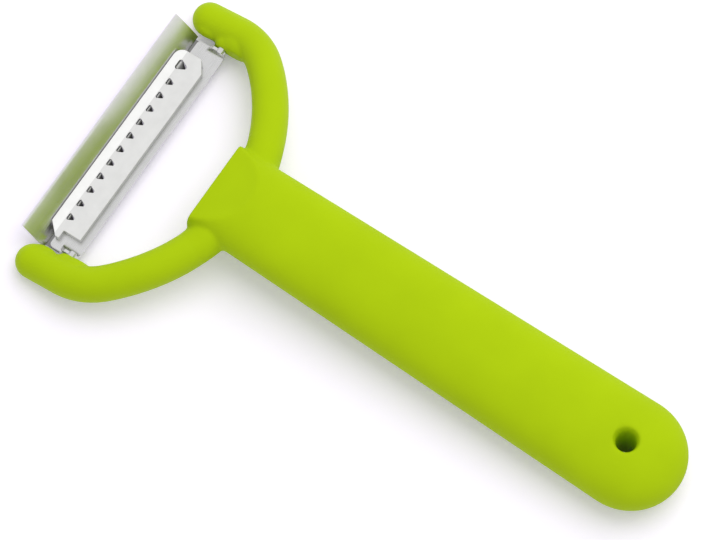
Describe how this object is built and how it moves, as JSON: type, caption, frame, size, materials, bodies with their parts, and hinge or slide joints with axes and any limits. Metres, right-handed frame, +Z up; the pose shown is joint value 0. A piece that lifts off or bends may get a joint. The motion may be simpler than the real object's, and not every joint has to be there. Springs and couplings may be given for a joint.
{
  "type": "julienne peeler",
  "caption": "Y-shaped julienne peeler with a soft oval grip, a horseshoe yoke and a swivelling steel blade unit with a toothed plate and a slicing edge.",
  "frame": {"origin": "middle of the peeler's footprint on the table, where it lies on its grip's rear end and its arm tips", "axes": "+Z up, +Y along the handle from the grip's rear end to the blade, +X to the right"},
  "size_m": [0.0782, 0.155, 0.0173],
  "materials": {
    "soft_grip": "soft matte",
    "yoke_plastic": "satin",
    "satin_steel": "satin",
    "polished_steel": "polished"
  },
  "bodies": {
    "handle": {"grip": "soft_grip", "yoke": "yoke_plastic"},
    "blade": {"blade_frame": "satin_steel", "julienne_plate": "satin_steel", "slicing_blade": "polished_steel", "pivot_pin_left": "satin_steel", "pivot_pin_right": "satin_steel"}
  },
  "joints": [
    {"name": "blade_swivel", "type": "hinge", "parent": "handle", "child": "blade", "pos_m": [0, 0.06419, 0.00489], "axis": [1, 0, 0], "range_deg": [0, 40]}
  ]
}
